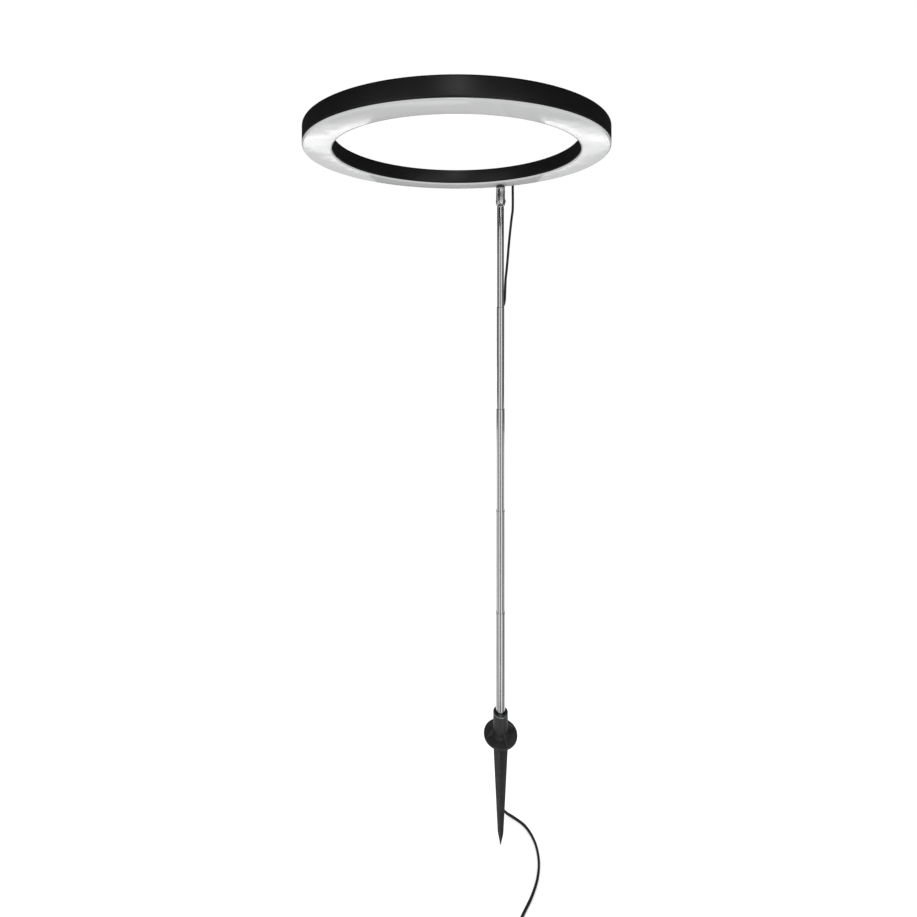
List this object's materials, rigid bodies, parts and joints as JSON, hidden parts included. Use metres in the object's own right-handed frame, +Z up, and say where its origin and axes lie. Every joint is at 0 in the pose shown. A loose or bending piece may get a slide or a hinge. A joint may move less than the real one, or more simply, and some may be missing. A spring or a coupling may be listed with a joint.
{
  "type": "led grow light",
  "caption": "Ring-shaped LED plant light on a telescopic steel pole with a tilting head, a ground stake and an in-line dimmer on its cord.",
  "frame": {"origin": "on the pole's axis at soil level, at the underside of the stake's flange", "axes": "+Z up along the pole; the ring's centre lies towards -Y; the cord runs down the pole's +Y side"},
  "size_m": [0.32, 0.3457, 0.9267],
  "materials": {
    "housing_black": "satin black moulded ABS",
    "lens_milk": "glossy milky acrylic",
    "board_white": "white solder mask with moulded LED chips",
    "chrome": "polished chrome plate",
    "stainless": "polished stainless tube",
    "zinc_steel": "zinc-plated steel",
    "brass": "plain turned brass",
    "rubber_black": "soft black rubber",
    "cord_black": "smooth black PVC sheath",
    "plastic_black": "fine-textured black plastic",
    "button_grey": "satin grey plastic"
  },
  "bodies": {
    "stake": {"ground_stake": "plastic_black", "swivel_bush": "zinc_steel", "stake_clip": "plastic_black", "controller_base": "plastic_black", "controller_cover": "plastic_black", "controller_board": "board_white", "relief_in": "rubber_black", "relief_out": "rubber_black", "cord_floor": "cord_black", "cord_lead": "cord_black", "cord_coil": "cord_black", "coil_tie": "rubber_black", "cord_tail": "cord_black", "plug_body": "plastic_black", "plug_shell": "stainless"},
    "section_5": {"section_tube_5": "stainless", "cord_clip_5": "plastic_black", "cord_span_6": "cord_black"},
    "section_4": {"section_tube_4": "stainless", "friction_bush_4": "brass", "cord_clip_4": "plastic_black", "cord_span_5": "cord_black"},
    "section_3": {"section_tube_3": "stainless", "friction_bush_3": "brass", "cord_clip_3": "plastic_black", "cord_span_4": "cord_black"},
    "section_2": {"section_tube_2": "stainless", "friction_bush_2": "brass", "cord_clip_2": "plastic_black", "cord_span_3": "cord_black"},
    "section_1": {"section_tube_1": "stainless", "friction_bush_1": "brass", "tongue_fitting": "stainless", "cord_span_2": "cord_black"},
    "head": {"ring_housing": "housing_black", "diffuser_lens": "lens_milk", "led_board_1": "board_white", "led_board_2": "board_white", "led_board_3": "board_white", "led_board_4": "board_white", "board_screw_1": "zinc_steel", "board_screw_2": "zinc_steel", "board_screw_3": "zinc_steel", "board_screw_4": "zinc_steel", "supply_lead": "cord_black", "mount_block": "zinc_steel", "block_screw_1": "zinc_steel", "block_screw_2": "zinc_steel", "stud": "chrome", "stud_nut": "zinc_steel", "collar_washer": "rubber_black", "pivot_fork": "chrome", "pivot_screw": "zinc_steel", "pivot_nut": "zinc_steel", "cord_gland": "rubber_black", "cord_span_1": "cord_black"},
    "button_1": {"controller_button_1": "button_grey"},
    "button_2": {"controller_button_2": "button_grey"},
    "button_3": {"controller_button_3": "button_grey"}
  },
  "joints": [
    {"name": "swivel", "type": "hinge", "parent": "stake", "child": "section_5", "pos_m": [0, 0, 0.031], "axis": [0, 0, 1], "range_deg": [-90, 90], "deforming": ["cord_span_6"]},
    {"name": "slide_4", "type": "slide", "parent": "section_5", "child": "section_4", "axis": [0, 0, -1], "range_m": [0, 0.115], "deforming": ["cord_span_5"]},
    {"name": "slide_3", "type": "slide", "parent": "section_4", "child": "section_3", "axis": [0, 0, -1], "range_m": [0, 0.115], "deforming": ["cord_span_4"]},
    {"name": "slide_2", "type": "slide", "parent": "section_3", "child": "section_2", "axis": [0, 0, -1], "range_m": [0, 0.115], "deforming": ["cord_span_3"]},
    {"name": "slide_1", "type": "slide", "parent": "section_2", "child": "section_1", "axis": [0, 0, -1], "range_m": [0, 0.115], "deforming": ["cord_span_2"]},
    {"name": "tilt", "type": "hinge", "parent": "section_1", "child": "head", "pos_m": [0, 0, 0.732], "axis": [1, 0, 0], "range_deg": [-75, 75], "deforming": ["cord_span_1"]},
    {"name": "press_1", "type": "slide", "parent": "stake", "child": "button_1", "axis": [0, 0, -1], "range_m": [0, 0.0008], "stiffness_N_per_m": 400},
    {"name": "press_2", "type": "slide", "parent": "stake", "child": "button_2", "axis": [0, 0, -1], "range_m": [0, 0.0008], "stiffness_N_per_m": 400},
    {"name": "press_3", "type": "slide", "parent": "stake", "child": "button_3", "axis": [0, 0, -1], "range_m": [0, 0.0008], "stiffness_N_per_m": 400}
  ]
}
